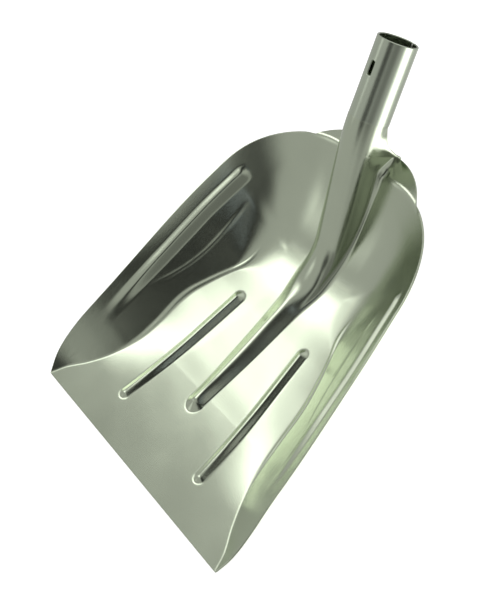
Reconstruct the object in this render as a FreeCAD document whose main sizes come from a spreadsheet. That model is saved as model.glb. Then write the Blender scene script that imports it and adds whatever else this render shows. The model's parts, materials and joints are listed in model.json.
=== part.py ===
import FreeCAD, Part
import math
import os
import Sketcher
from FreeCAD import Placement, Rotation, Vector

# Scoop shovel head pressed from one aluminium sheet, +Z up, millimetres.
# It is drawn with the middle of the cutting edge at x = 0, y = 0, +Y running back to the socket,
# and its underside at z = 0. The finished sub-parts are then moved so that the origin lies
# midway along the whole head.

SIZES = {
    "gauge": 2.0,
    # floor outline inside the pan: half widths, and distances behind the cutting edge
    "edge_half": 167.5,
    "side_mid_half": 129.0,
    "side_mid_back": 131.0,
    "side_rear_half": 80.5,
    "side_rear_back": 250.0,
    "heel_round": 31.0,
    "floor_back": 286.0,
    # walls: lean away from upright, and the bend where they meet the floor, less at the front corners
    "wall_lean": 50.0,
    "wall_bend": 46.0,
    "corner_bend": 12.0,
    "press_height": 200.0,
    # rim seen from the side: a short arc up from the corner, a long straight line, then an arc
    # into the flat back
    "corner_rise": 8.5,
    "nose_bow_back": 29.4,
    "nose_bow_rise": 20.0,
    "rim_arc_back": 60.0,
    "rim_arc_rise": 28.0,
    "rim_line_back": 289.0,
    "rim_line_rise": 74.5,
    "tail_bow_back": 315.9,
    "tail_bow_rise": 78.6,
    "rim_flat_back": 343.0,
    "rim_top": 80.0,
    "clear_of_all": 700.0,
    # treads: flat, folded back from the top of the back wall, and cheeks from them up to the tube
    "tread_start_half": 85.0,
    "tread_start_back": 373.5,
    "tread_outer_half": 65.0,
    "tread_outer_back": 390.0,
    "tread_edge_half": 44.0,
    "tread_edge_back": 399.0,
    "tread_root_half": 18.0,
    "tread_root_back": 401.0,
    "tread_fold_back": 380.6,
    "tread_bow_half": 56.0,
    "tread_bow_back": 379.4,
    "cheek_foot_back": 401.0,
    "cheek_waist_rise": 98.0,
    "cheek_front_back": 352.0,
    "cheek_front_rise": 74.0,
    "cheek_root_back": 374.0,
    "cheek_root_rise": 78.0,
    # rolled tube: mouth, straight socket, neck, then the rib sunk in the floor
    "tube_radius": 21.0,
    "mouth_back": 468.3,
    "mouth_rise": 171.1,
    "tube_lift": 36.6,
    "socket_length": 80.0,
    "hollow_start": 70.0,
    "neck_distance": 100.0,
    "foot_back": 270.6,
    "foot_depth": 5.9,
    "tip_back": 80.0,
    "tip_depth": 18.7,
    "tube_bend": 110.0,
    # beads pressed into the floor and the side walls
    "bead_radius": 5.6,
    "bead_centre_rise": 0.1,
    "bead_front_half": 77.4,
    "bead_front_back": 47.0,
    "bead_rear_half": 59.5,
    "bead_rear_back": 200.0,
    "wall_bead_radius": 6.5,
    "wall_bead_front_half": 165.9,
    "wall_bead_front_back": 105.3,
    "wall_bead_front_rise": 21.2,
    "wall_bead_mid_half": 155.9,
    "wall_bead_mid_back": 200.7,
    "wall_bead_mid_rise": 40.4,
    "wall_bead_rear_half": 136.5,
    "wall_bead_rear_back": 297.7,
    "wall_bead_rear_rise": 58.7,
    # slot for the handle screw, and the weld along the tube's underside
    "slot_distance": 30.0,
    "slot_width": 6.5,
    "slot_length": 16.0,
    "seam_width": 2.6,
    "seam_crown": 0.8,
}

RIGHT = 1
LEFT = -1
START = 1
END = 2
CENTRE = 3
ORIGIN = -1
UPRIGHT_AXIS = -2
TOUCHING = 0.01
SHEET_PLANE = Rotation()
SIDE_VIEW = Rotation(Vector(0, 1, 0), Vector(0, 0, 1), Vector(1, 0, 0))

doc = FreeCAD.newDocument("scoop_head")
sizes = doc.addObject("Spreadsheet::Sheet", "sizes")
for row, (alias, number) in enumerate(SIZES.items(), start=1):
    sizes.set(f"A{row}", alias)
    sizes.set(f"B{row}", str(number))
    sizes.setAlias(f"B{row}", alias)
doc.recompute()


def size(alias):
    """The number that the sheet holds under that alias."""
    return float(sizes.get(alias))


def formula(text):
    """An expression with each {alias} written as a cell of the sheet."""
    return text.replace("{", "<<sizes>>.").replace("}", "")


def cell(alias):
    """A measure: what to bind to, and the number it has now."""
    return formula(f"{{{alias}}}"), size(alias)


def along_tube(distance):
    """The measures back and rise of a point on the straight tube's centre line, so far from the mouth."""
    lift = math.radians(size("tube_lift"))
    back = size("mouth_back") - size(distance) * math.cos(lift)
    rise = size("mouth_rise") - size(distance) * math.sin(lift)
    return (
        (formula(f"{{mouth_back}} - {{{distance}}} * cos({{tube_lift}} * 1 deg)"), back),
        (formula(f"{{mouth_rise}} - {{{distance}}} * sin({{tube_lift}} * 1 deg)"), rise),
    )


def add(kind, name, **values):
    """A new document object with the given properties."""
    thing = doc.addObject(kind, name)
    for prop, value in values.items():
        setattr(thing, prop, value)
    return thing


def hold(sketch, kind, point, side, measure):
    """Hold a sketch point a measure away from the origin; LEFT is the negative direction."""
    origin = (ORIGIN, START)
    ends = (*origin, *point) if side == RIGHT else (*point, *origin)
    text, number = measure
    index = sketch.addConstraint(Sketcher.Constraint(kind, *ends, number))
    sketch.setExpression(f"Constraints[{index}]", text)


def hold_point(sketch, point, place):
    """Hold a sketch point at a place, which is (side, measure) across and up, with None for 0."""
    for kind, way in zip(("DistanceX", "DistanceY"), place):
        if way is None:
            sketch.addConstraint(Sketcher.Constraint(kind, ORIGIN, START, *point, 0.0))
        else:
            hold(sketch, kind, point, *way)


def spot(place):
    """Where a place is in its sketch."""
    across, up = (0.0 if way is None else way[0] * way[1][1] for way in place)
    return Vector(across, up, 0)


def corner(half, back, side=RIGHT):
    """A place from two aliases; None stands for the axis."""
    return (
        None if half is None else (side, cell(half)),
        None if back is None else (RIGHT, cell(back)),
    )


def arc_through(first, middle, last):
    """A sketch arc, which always has to run anticlockwise; True if it runs from first to last."""
    forward = (middle - first).cross(last - middle).z > 0
    return (Part.Arc(first, middle, last) if forward else Part.Arc(last, middle, first)), forward


def draw(sketch, corners, arcs=None):
    """A closed outline through the corners.

    arcs gives, for the number of a corner, a place that the side after it bows through.
    """
    arcs = arcs or {}
    count = len(corners)
    starts = []
    for i in range(count):
        first, last = spot(corners[i]), spot(corners[(i + 1) % count])
        shape, forward = Part.LineSegment(first, last), True
        if i in arcs:
            shape, forward = arc_through(first, spot(arcs[i]), last)
        index = sketch.addGeometry(shape)
        starts.append((index, START if forward else END, END if forward else START))
        hold_point(sketch, (index, starts[-1][1]), corners[i])
    for i in range(count):
        index, _, last = starts[i]
        following, first, _ = starts[(i + 1) % count]
        sketch.addConstraint(Sketcher.Constraint("Coincident", index, last, following, first))
    for i, bow in arcs.items():
        marker = sketch.addGeometry(Part.Point(spot(bow)), True)
        hold_point(sketch, (marker, START), bow)
        sketch.addConstraint(Sketcher.Constraint("PointOnObject", marker, START, starts[i][0]))


def new_sketch(name, rotation):
    """A sketch that stands on its own in the document."""
    return add("Sketcher::SketchObject", name, Placement=Placement(Vector(), rotation))


def sketch_in(body, name, role):
    """A new sketch on one of the body's own origin planes."""
    sketch = body.newObject("Sketcher::SketchObject", name)
    plane = next(item for item in body.Origin.OriginFeatures if item.Role == role)
    sketch.AttachmentSupport = [(plane, "")]
    sketch.MapMode = "FlatFace"
    return sketch


def circle_through(first, middle, last):
    """Centre and radius of the circle through three sketch points."""
    circle = Part.Arc(first, middle, last).toShape().Curve
    return circle.Center, circle.Radius


def floor_outline():
    """The floor in plan: straight cutting edge, bowed sides, and heels that round into a straight back."""
    sketch = new_sketch("floor_outline", SHEET_PLANE)
    edge, bow = corner("edge_half", None), corner("side_mid_half", "side_mid_back")
    rear = corner("side_rear_half", "side_rear_back")
    centre, side_radius = circle_through(spot(edge), spot(bow), spot(rear))
    heel_radius, back = size("heel_round"), size("floor_back")
    reach = side_radius - heel_radius
    heel_y = back - heel_radius
    heel_x = centre.x + math.sqrt(reach**2 - (heel_y - centre.y) ** 2)
    outward = (Vector(heel_x, heel_y, 0) - centre).normalize()
    touch = centre + outward * side_radius
    halfway = Vector(heel_x, heel_y, 0) + (outward + Vector(0, 1, 0)).normalize() * heel_radius
    back_end = Vector(heel_x, back, 0)

    def flip(point):
        return Vector(-point.x, point.y, 0)

    front, back_line, right_side, right_heel, left_heel, left_side = sketch.addGeometry([
        Part.LineSegment(flip(spot(edge)), spot(edge)),
        Part.LineSegment(back_end, flip(back_end)),
        Part.Arc(spot(edge), spot(bow), touch),
        Part.Arc(touch, halfway, back_end),
        Part.Arc(flip(back_end), flip(halfway), flip(touch)),
        Part.Arc(flip(touch), flip(spot(bow)), flip(spot(edge))),
    ])
    loop = [front, right_side, right_heel, back_line, left_heel, left_side]
    for i, piece in enumerate(loop):
        following = loop[(i + 1) % len(loop)]
        kind = "Coincident" if front in (piece, following) else "Tangent"
        sketch.addConstraint(Sketcher.Constraint(kind, piece, END, following, START))
    hold_point(sketch, (front, END), edge)
    hold_point(sketch, (front, START), corner("edge_half", None, LEFT))
    sketch.addConstraint(Sketcher.Constraint("Horizontal", back_line))
    hold(sketch, "DistanceY", (back_line, START), RIGHT, cell("floor_back"))
    for piece in (right_heel, left_heel):
        index = sketch.addConstraint(Sketcher.Constraint("Radius", piece, heel_radius))
        sketch.setExpression(f"Constraints[{index}]", formula("{heel_round}"))
    for side, piece in ((RIGHT, right_side), (LEFT, left_side)):
        for aliases in (("side_mid_half", "side_mid_back"), ("side_rear_half", "side_rear_back")):
            place = corner(*aliases, side)
            marker = sketch.addGeometry(Part.Point(spot(place)), True)
            hold_point(sketch, (marker, START), place)
            sketch.addConstraint(Sketcher.Constraint("PointOnObject", marker, START, piece))
    return sketch


def extrude(name, outline, direction, length):
    """The outline carried along a direction into a solid."""
    solid = add("Part::Extrusion", name, Base=outline, DirMode="Custom", Dir=direction, Solid=True)
    solid.setExpression("LengthFwd", formula(length))
    return solid


def press_die(name, outline, base_rise, skin):
    """The shape of the pan's inside or outside: leaning walls on the outline, all bends rounded."""
    block = extrude(f"{name}_block", outline, Vector(0, 0, 1), "{press_height}")
    block.setExpression("TaperAngle", formula("{wall_lean}"))
    block.setExpression("Placement.Base.z", formula(base_rise))
    front = add("Part::Box", f"{name}_front")
    front.setExpression("Length", formula("2 * {clear_of_all}"))
    front.setExpression("Width", formula("{clear_of_all}"))
    front.setExpression("Height", formula("{clear_of_all}"))
    front.setExpression("Placement.Base.x", formula("-{clear_of_all}"))
    front.setExpression("Placement.Base.y", formula("-{clear_of_all}"))
    squared = add("Part::Cut", f"{name}_squared", Base=block, Tool=front)
    doc.recompute()

    floor = size("gauge") - skin
    bends = []
    for i, edge in enumerate(squared.Shape.Edges, start=1):
        ends = [edge.valueAt(edge.FirstParameter), edge.valueAt(edge.LastParameter)]
        on_floor = all(end.z < floor + TOUCHING for end in ends)
        on_cutting_edge = all(end.y < TOUCHING for end in ends)
        if on_floor and not on_cutting_edge:
            kinds = ["corner_bend" if end.y < TOUCHING else "wall_bend" for end in ends]
            bends.append((i, *(size(kind) + skin for kind in kinds)))
    die = add("Part::Fillet", name, Base=squared)
    die.Edges = bends
    return die


def rim_cutter():
    """Everything above the rim line, as seen from the side."""
    sketch = new_sketch("rim_line", SIDE_VIEW)
    far = "clear_of_all"
    outline = [
        corner(None, "corner_rise"),
        corner("rim_arc_back", "rim_arc_rise"),
        corner("rim_line_back", "rim_line_rise"),
        corner("rim_flat_back", "rim_top"),
        corner(far, "rim_top"),
        corner(far, far),
        corner(None, far),
    ]
    nose_bow = corner("nose_bow_back", "nose_bow_rise")
    tail_bow = corner("tail_bow_back", "tail_bow_rise")
    draw(sketch, outline, {0: nose_bow, 2: tail_bow})
    cutter = add("Part::Extrusion", "above_rim", Base=sketch, DirMode="Normal", Symmetric=True, Solid=True)
    cutter.setExpression("LengthFwd", formula("2 * {clear_of_all}"))
    return cutter


def tube_line(name, start):
    """The tube's centre line in side view: socket, neck and rib, with an arc at each turn."""
    sketch = new_sketch(name, SIDE_VIEW)
    places = [
        along_tube(start),
        along_tube("neck_distance"),
        (cell("foot_back"), cell("foot_depth")),
        (cell("tip_back"), cell("tip_depth")),
    ]
    sides = [(RIGHT, RIGHT), (RIGHT, RIGHT), (RIGHT, LEFT), (RIGHT, LEFT)]
    corners = [tuple(zip(side, place)) for side, place in zip(sides, places)]
    points = [spot(place) for place in corners]
    radius = size("tube_bend")
    runs = []
    forwards = []
    begin = points[0]
    for before, turn, after in zip(points, points[1:], points[2:]):
        incoming, outgoing = (turn - before).normalize(), (after - turn).normalize()
        half_turn = incoming.getAngle(outgoing) / 2
        reach = radius * math.tan(half_turn)
        middle = turn + (outgoing - incoming).normalize() * (radius / math.cos(half_turn) - radius)
        runs.append(Part.LineSegment(begin, turn - incoming * reach))
        begin = turn + outgoing * reach
        arc, forward = arc_through(turn - incoming * reach, middle, begin)
        runs.append(arc)
        forwards.append(forward)
    runs.append(Part.LineSegment(begin, points[-1]))
    sketch.addGeometry(runs)
    hold_point(sketch, (0, START), corners[0])
    hold_point(sketch, (4, END), corners[3])
    for arc, forward, place in zip((1, 3), forwards, corners[1:3]):
        line_before, line_after = arc - 1, arc + 1
        first, last = (START, END) if forward else (END, START)
        sketch.addConstraint(Sketcher.Constraint("Tangent", line_before, END, arc, first))
        sketch.addConstraint(Sketcher.Constraint("Tangent", arc, last, line_after, START))
        index = sketch.addConstraint(Sketcher.Constraint("Radius", arc, radius))
        sketch.setExpression(f"Constraints[{index}]", formula("{tube_bend}"))
        marker = sketch.addGeometry(Part.Point(spot(place)), True)
        hold_point(sketch, (marker, START), place)
        sketch.addConstraint(Sketcher.Constraint("PointOnObject", marker, START, line_before))
        sketch.addConstraint(Sketcher.Constraint("PointOnObject", marker, START, line_after))
    return sketch


def bent_tube(name, start, radius):
    """A round bar along the tube's centre line, from the socket's end to the rib's tip."""
    line = tube_line(f"{name}_line", start)
    ring = add("Part::Circle", f"{name}_ring")
    ring.setExpression("Radius", formula(radius))
    (_, back), (_, rise) = along_tube(start)
    ring.Placement = Placement(Vector(0, back, rise), Rotation(Vector(1, 0, 0), size("tube_lift") - 90))
    return add("Part::Sweep", name, Sections=[ring], Spine=(line, []), Solid=True, Frenet=False)


def bead_bar(name, radius, places):
    """A round-ended bar, straight through two places or bowed through three; a place is three measures."""
    points = [Vector(*(number for _, number in place)) for place in places]
    bowed = len(points) > 2
    line = Part.Arc(*points) if bowed else Part.LineSegment(*points)
    spine = add("Part::Feature", f"{name}_line", Shape=line.toShape())
    ring = add("Part::Circle", f"{name}_ring")
    ring.setExpression("Radius", formula(radius))
    heading = Vector(*line.tangent(line.FirstParameter)[0])
    ring.Placement = Placement(points[0], Rotation(Vector(0, 0, 1), heading))
    bar = add("Part::Sweep", f"{name}_bar", Sections=[ring], Spine=(spine, []), Solid=True, Frenet=False)
    pieces = [bar]
    for place, end in ((places[0], "front"), (places[-1], "rear")):
        ball = add("Part::Sphere", f"{name}_{end}_ball")
        ball.setExpression("Radius", formula(radius))
        for axis, (text, _) in zip("xyz", place):
            ball.setExpression(f"Placement.Base.{axis}", text)
        pieces.append(ball)
    return add("Part::MultiFuse", name, Shapes=pieces)


def place_of(side, half, back, rise):
    """A point in space as three measures, on the given side."""
    text, number = cell(half)
    return ((text if side == RIGHT else f"-{text}", side * number), cell(back), cell(rise))


def floor_bead(side, hand, kind, radius):
    """The straight bar that a floor bead is made from."""
    places = [
        place_of(side, f"bead_{end}_half", f"bead_{end}_back", "bead_centre_rise")
        for end in ("front", "rear")
    ]
    return bead_bar(f"{hand}_floor_bead_{kind}", radius, places)


def wall_bead(side, hand, kind, radius):
    """The bowed bar that a side wall's bead is made from."""
    places = [
        place_of(side, f"wall_bead_{end}_half", f"wall_bead_{end}_back", f"wall_bead_{end}_rise")
        for end in ("front", "mid", "rear")
    ]
    return bead_bar(f"{hand}_wall_bead_{kind}", radius, places)


def bead_bars(kind, floor_radius, wall_radius):
    """The four round-ended bars that the beads are made from."""
    bars = []
    for side, hand in ((RIGHT, "right"), (LEFT, "left")):
        bars.append(floor_bead(side, hand, kind, floor_radius))
        bars.append(wall_bead(side, hand, kind, wall_radius))
    return bars


def treads():
    """The two flat treads folded back from the top of the back wall, one each side of the neck."""
    pads = []
    for side, hand in ((RIGHT, "right"), (LEFT, "left")):
        sketch = new_sketch(f"{hand}_tread_outline", SHEET_PLANE)
        ends = ("start", "outer", "edge", "root")
        outline = [corner(f"tread_{end}_half", f"tread_{end}_back", side) for end in ends]
        outline.append(corner("tread_root_half", "tread_fold_back", side))
        draw(sketch, outline, {4: corner("tread_bow_half", "tread_bow_back", side)})
        pad = extrude(f"{hand}_tread", sketch, Vector(0, 0, 1), "{gauge}")
        pad.setExpression("Placement.Base.z", formula("{rim_top} - {gauge}"))
        pads.append(pad)
    return pads


def cheeks():
    """The two upright cheeks that run from the treads up to the sides of the tube."""
    plates = []
    socket_end = tuple((RIGHT, measure) for measure in along_tube("socket_length"))
    for side, hand in ((RIGHT, "right"), (LEFT, "left")):
        sketch = new_sketch(f"{hand}_cheek_outline", SIDE_VIEW)
        draw(sketch, [
            socket_end,
            corner("cheek_front_back", "cheek_front_rise"),
            corner("cheek_root_back", "cheek_root_rise"),
            corner("cheek_foot_back", "cheek_root_rise"),
            corner("cheek_foot_back", "cheek_waist_rise"),
        ])
        plate = extrude(f"{hand}_cheek", sketch, Vector(1, 0, 0), "{gauge}")
        inner = "{tube_radius} - {gauge}" if side == RIGHT else "-{tube_radius}"
        plate.setExpression("Placement.Base.x", formula(inner))
        plates.append(plate)
    return plates


def scoop_blade():
    """The pressing: outside die less inside die, trimmed at the rim, with rib, frog, beads and treads."""
    plan = floor_outline()
    outside_plan = add("Part::Offset2D", "outside_plan", Source=plan, Join=2)
    outside_plan.setExpression("Value", formula("{gauge} * tan((90 - {wall_lean}) / 2 * 1 deg)"))
    inside = press_die("inside", plan, "{gauge}", 0.0)
    outside = press_die("outside", outside_plan, "0", size("gauge"))
    pan = add("Part::Cut", "pan", Base=outside, Tool=inside)
    trimmed = add("Part::Cut", "trimmed_pan", Base=pan, Tool=rim_cutter())

    frog = bent_tube("frog", "socket_length", "{tube_radius}")
    bars = bead_bars("outside", "{bead_radius}", "{wall_bead_radius}")
    raised = add("Part::MultiFuse", "raised", Shapes=[frog, *bars])
    showing = add("Part::Common", "showing", Base=raised, Tool=inside)
    pressed = [trimmed, showing, *treads(), *cheeks()]
    sheet_metal = add("Part::MultiFuse", "sheet_metal", Shapes=pressed)
    hollow = bent_tube("frog_hollow", "hollow_start", "{tube_radius} - {gauge}")
    grooves = bead_bars("inside", "{bead_radius} - {gauge}", "{wall_bead_radius} - {gauge}")
    hollows = add("Part::MultiFuse", "hollows", Shapes=[hollow, *grooves])
    return add("Part::Cut", "scoop_blade", Base=sheet_metal, Tool=hollows)


def tube_body(name):
    """A body whose own +Z runs out of the mouth along the tube, with its top side towards -Y."""
    return doc.addObject("PartDesign::Body", name)


def pad_up(body, sketch, name, length):
    """Pad back from the mouth along the tube."""
    pad = body.newObject("PartDesign::Pad", name)
    pad.Profile = sketch
    pad.Reversed = True
    pad.setExpression("Length", formula(length))
    return pad


def bind_constraint(sketch, constraint, text):
    """Add a constraint whose measure follows the sheet."""
    index = sketch.addConstraint(constraint)
    sketch.setExpression(f"Constraints[{index}]", formula(text))


def tube_wall(body):
    """The tube before anything is cut in it."""
    ring = sketch_in(body, "ring", "XY_Plane")
    outer = size("tube_radius")
    inner = outer - size("gauge")
    for radius, text in ((outer, "{tube_radius}"), (inner, "{tube_radius} - {gauge}")):
        index = ring.addGeometry(Part.Circle(Vector(), Vector(0, 0, 1), radius))
        ring.addConstraint(Sketcher.Constraint("Coincident", index, CENTRE, ORIGIN, START))
        bind_constraint(ring, Sketcher.Constraint("Radius", index, radius), text)
    pad_up(body, ring, "tube", "{socket_length}")


def seam_gap(body):
    """The gap where the rolled sheet's edges meet, on the tube's underside."""
    gap = sketch_in(body, "seam_gap_outline", "XY_Plane")
    half = size("seam_width") / 2
    far = 2 * size("tube_radius")
    corners = [Vector(half, 0, 0), Vector(half, far, 0), Vector(-half, far, 0), Vector(-half, 0, 0)]
    for i, start in enumerate(corners):
        gap.addGeometry(Part.LineSegment(start, corners[(i + 1) % 4]))
    for i in range(4):
        gap.addConstraint(Sketcher.Constraint("Coincident", i, END, (i + 1) % 4, START))
    for i, way in enumerate(("Vertical", "Horizontal", "Vertical", "Horizontal")):
        gap.addConstraint(Sketcher.Constraint(way, i))
    gap.addConstraint(Sketcher.Constraint("PointOnObject", 0, START, ORIGIN))
    right = Sketcher.Constraint("DistanceX", ORIGIN, START, 0, START, half)
    left = Sketcher.Constraint("DistanceX", 2, END, ORIGIN, START, half)
    bind_constraint(gap, right, "{seam_width} / 2")
    bind_constraint(gap, left, "{seam_width} / 2")
    height = Sketcher.Constraint("DistanceY", ORIGIN, START, 0, END, far)
    bind_constraint(gap, height, "2 * {tube_radius}")
    pocket = body.newObject("PartDesign::Pocket", "seam_gap")
    pocket.Profile = gap
    pocket.Type = "ThroughAll"
    pocket.Midplane = True


def screw_slot(body):
    """The slot for the handle screw, through the tube's top side only."""
    slot = sketch_in(body, "slot_outline", "XZ_Plane")
    radius = size("slot_width") / 2
    reach = size("slot_length") / 2 - radius
    middle = -size("slot_distance")
    top, low = Vector(0, middle + reach, 0), Vector(0, middle - reach, 0)
    across = Vector(radius, 0, 0)
    slot.addGeometry([
        Part.ArcOfCircle(Part.Circle(top, Vector(0, 0, 1), radius), 0, math.pi),
        Part.LineSegment(top - across, low - across),
        Part.ArcOfCircle(Part.Circle(low, Vector(0, 0, 1), radius), math.pi, 2 * math.pi),
        Part.LineSegment(low + across, top + across),
    ])
    for i in range(4):
        slot.addConstraint(Sketcher.Constraint("Tangent", i, END, (i + 1) % 4, START))
    for end in (0, 2):
        slot.addConstraint(Sketcher.Constraint("PointOnObject", end, CENTRE, UPRIGHT_AXIS))
    bind_constraint(slot, Sketcher.Constraint("Radius", 0, radius), "{slot_width} / 2")
    top_depth = Sketcher.Constraint("DistanceY", 0, CENTRE, ORIGIN, START, -top.y)
    low_depth = Sketcher.Constraint("DistanceY", 2, CENTRE, ORIGIN, START, -low.y)
    bind_constraint(slot, top_depth, "{slot_distance} - ({slot_length} - {slot_width}) / 2")
    bind_constraint(slot, low_depth, "{slot_distance} + ({slot_length} - {slot_width}) / 2")
    opening = body.newObject("PartDesign::Pocket", "slot")
    opening.Profile = slot
    opening.Reversed = True
    opening.setExpression("Length", formula("2 * {tube_radius}"))


def handle_socket():
    """The rolled tube, with the slot on its top side and the gap for the seam on its underside."""
    body = tube_body("handle_socket")
    tube_wall(body)
    seam_gap(body)
    screw_slot(body)
    doc.recompute()
    return body


def weld_section(body):
    """Across the weld: upright sides, the tube's own curve inside and a raised crown outside."""
    section = sketch_in(body, "weld_section", "XY_Plane")
    half = size("seam_width") / 2
    outer = size("tube_radius")
    inner = outer - size("gauge")
    top, bottom = math.sqrt(outer**2 - half**2), math.sqrt(inner**2 - half**2)
    crown = Vector(0, outer + size("seam_crown"), 0)
    right, crowned, left, flush = section.addGeometry([
        Part.LineSegment(Vector(half, bottom, 0), Vector(half, top, 0)),
        Part.Arc(Vector(half, top, 0), crown, Vector(-half, top, 0)),
        Part.LineSegment(Vector(-half, top, 0), Vector(-half, bottom, 0)),
        Part.Arc(Vector(half, bottom, 0), Vector(0, inner, 0), Vector(-half, bottom, 0)),
    ])
    joins = [
        (right, END, crowned, START),
        (crowned, END, left, START),
        (left, END, flush, END),
        (flush, START, right, START),
        (flush, CENTRE, ORIGIN, START),
    ]
    for ends in joins:
        section.addConstraint(Sketcher.Constraint("Coincident", *ends))
    for side in (right, left):
        section.addConstraint(Sketcher.Constraint("Vertical", side))
    right_reach = Sketcher.Constraint("DistanceX", ORIGIN, START, right, START, half)
    left_reach = Sketcher.Constraint("DistanceX", left, END, ORIGIN, START, half)
    bind_constraint(section, right_reach, "{seam_width} / 2")
    bind_constraint(section, left_reach, "{seam_width} / 2")
    bind_constraint(section, Sketcher.Constraint("Radius", flush, inner), "{tube_radius} - {gauge}")
    shoulder = Sketcher.Constraint("Distance", ORIGIN, START, right, END, outer)
    bind_constraint(section, shoulder, "{tube_radius}")
    section.addConstraint(Sketcher.Constraint("PointOnObject", crowned, CENTRE, UPRIGHT_AXIS))
    marker = section.addGeometry(Part.Point(crown), True)
    section.addConstraint(Sketcher.Constraint("PointOnObject", marker, START, UPRIGHT_AXIS))
    section.addConstraint(Sketcher.Constraint("PointOnObject", marker, START, crowned))
    crown_rise = Sketcher.Constraint("DistanceY", ORIGIN, START, marker, START, crown.y)
    bind_constraint(section, crown_rise, "{tube_radius} + {seam_crown}")
    return section


def socket_seam_weld():
    """The weld that fills the gap along the tube's underside, flush inside and crowned outside."""
    body = tube_body("socket_seam_weld")
    pad_up(body, weld_section(body), "weld_run", "{socket_length}")
    doc.recompute()
    return body


def set_in_place(thing, label, on_tube):
    """Move a finished sub-part into the head's own frame, whose origin is midway along the head."""
    lift = math.radians(size("tube_lift"))
    middle = (size("mouth_back") + size("tube_radius") * math.sin(lift)) / 2
    to_frame = Placement(Vector(0, -middle, 0), Rotation())
    if on_tube:
        mouth = Vector(0, size("mouth_back"), size("mouth_rise"))
        to_frame = to_frame * Placement(mouth, Rotation(Vector(1, 0, 0), size("tube_lift") - 90))
    thing.Placement = to_frame
    thing.Label = label


def check_all(parts):
    """Stop before anything is written if any object failed or any sub-part isn't one valid solid."""
    doc.recompute()
    for thing in doc.Objects:
        if "Invalid" in thing.State or "Error" in thing.State:
            raise RuntimeError(f"{thing.Name} failed: {thing.State}")
    for part in parts:
        shape = part.Shape
        if shape.isNull() or not shape.isValid() or len(shape.Solids) != 1:
            raise RuntimeError(f"{part.Label} isn't one valid solid")


def main():
    """Make the sub-parts, check them and write one STEP file for each."""
    blade = scoop_blade()
    socket = handle_socket()
    weld = socket_seam_weld()
    doc.recompute()
    set_in_place(blade, "scoop_blade", False)
    set_in_place(socket, "handle_socket", True)
    set_in_place(weld, "socket_seam_weld", True)
    parts = [blade, socket, weld]
    check_all(parts)
    os.makedirs("parts", exist_ok=True)
    for part in parts:
        part.Shape.exportStep(f"parts/{part.Label}.step")
        print(part.Label, round(part.Shape.Volume), "mm3", len(part.Shape.Faces), "faces")


main()
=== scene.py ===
import json
import math

import bpy
import numpy as np
from mathutils import Matrix, Vector


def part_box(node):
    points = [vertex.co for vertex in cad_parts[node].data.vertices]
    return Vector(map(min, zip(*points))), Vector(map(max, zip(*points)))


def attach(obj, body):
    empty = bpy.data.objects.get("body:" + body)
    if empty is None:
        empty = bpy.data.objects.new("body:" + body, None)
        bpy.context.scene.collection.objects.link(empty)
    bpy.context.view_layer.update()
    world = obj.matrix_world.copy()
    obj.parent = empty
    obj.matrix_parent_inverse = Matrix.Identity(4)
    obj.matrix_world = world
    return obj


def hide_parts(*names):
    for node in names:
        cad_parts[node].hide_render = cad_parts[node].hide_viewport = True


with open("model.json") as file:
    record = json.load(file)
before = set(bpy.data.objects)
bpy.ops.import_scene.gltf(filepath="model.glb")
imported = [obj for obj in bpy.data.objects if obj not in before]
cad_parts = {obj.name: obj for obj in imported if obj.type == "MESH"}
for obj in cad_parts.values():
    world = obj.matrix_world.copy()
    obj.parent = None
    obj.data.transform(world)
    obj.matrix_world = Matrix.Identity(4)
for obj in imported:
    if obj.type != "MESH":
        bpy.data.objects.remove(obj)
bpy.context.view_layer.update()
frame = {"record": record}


def mount(name):
    """The record's mount of that name."""
    return next(item for item in frame["record"]["mounts"] if item["name"] == name)


# The scoop is worked out in millimetres: x across it, y back from the middle of the cutting edge,
# z above the plane it rests on. It is the same left and right, so the right half is worked out
# and mirrored.
MM = 0.001
EDGE_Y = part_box("scoop_blade")[0].y
GAUGE = 2.0
CLEAR_OF_FLOOR = 0.05

# the rolled socket and the slot for the handle's screw
BORE = mount("handle_bore")
SCREW_SLOT = mount("handle_screw_slot")
TUBE_RADIUS = BORE["dims"]["r_mm"] + GAUGE
TUBE_LIFT = math.atan2(BORE["axis"][2], BORE["axis"][1])
MOUTH = ((BORE["pos_m"][1] - EDGE_Y) / MM, BORE["pos_m"][2] / MM)
SOCKET_LENGTH = 80.0
SLOT_DISTANCE = (Vector(BORE["pos_m"]) - Vector(SCREW_SLOT["pos_m"])).dot(Vector(BORE["axis"])) / MM
SLOT_HALF_WIDTH = SCREW_SLOT["dims"]["hole_r_mm"]
SLOT_HALF_LENGTH = SCREW_SLOT["dims"]["slot_length_mm"] / 2
SEAM_HALF_WIDTH = 1.3

# the rim in plan, distances back and half widths, then an arc round the back corner
SIDE_BACK = (0, 17, 43, 92, 170, 245)
SIDE_HALF = (175, 181.4, 184.1, 180.3, 172.4, 163.0)
JOIN_BACK = 288.6
CORNER_CENTRE = (46.8, 268.5)
CORNER_RADIUS = 110.5
# the rim from the side
RIM_BACK = (0, 21, 60, 120, 289, 316, 343, 400)
RIM_TOP = 80.0
RIM_RISE = (8.5, 16.5, 28.0, 40.2, 74.5, 78.6, RIM_TOP, RIM_TOP)

# the floor along the middle: it dips behind the cutting edge and then climbs
DIP_BACK = 105.0
DIP_DEPTH = 6.5
FLOOR_BACK = (DIP_BACK, 128, 150, 200, 240, 262, 285, 320)
FLOOR_RISE = (GAUGE, 2.4, 3.4, 6.7, 10.3, 13.9, 20.0, 30.0)
# the half width that stays level, beyond which the floor turns up
LEVEL_BACK = (0, 60, 90, 131, 188, 290)
LEVEL_HALF = (85.0, 75.0, 66.0, 52.0, 38.0, 24.0)
TURN_UP = 0.0108
TURN_UP_POWER = 1.6

# the walls steepen over this distance from the rim, and the sheet beyond the rim's line keeps this slope
WALL_FADE = 18.0
SLOPE_BEYOND_RIM = 0.84

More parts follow.
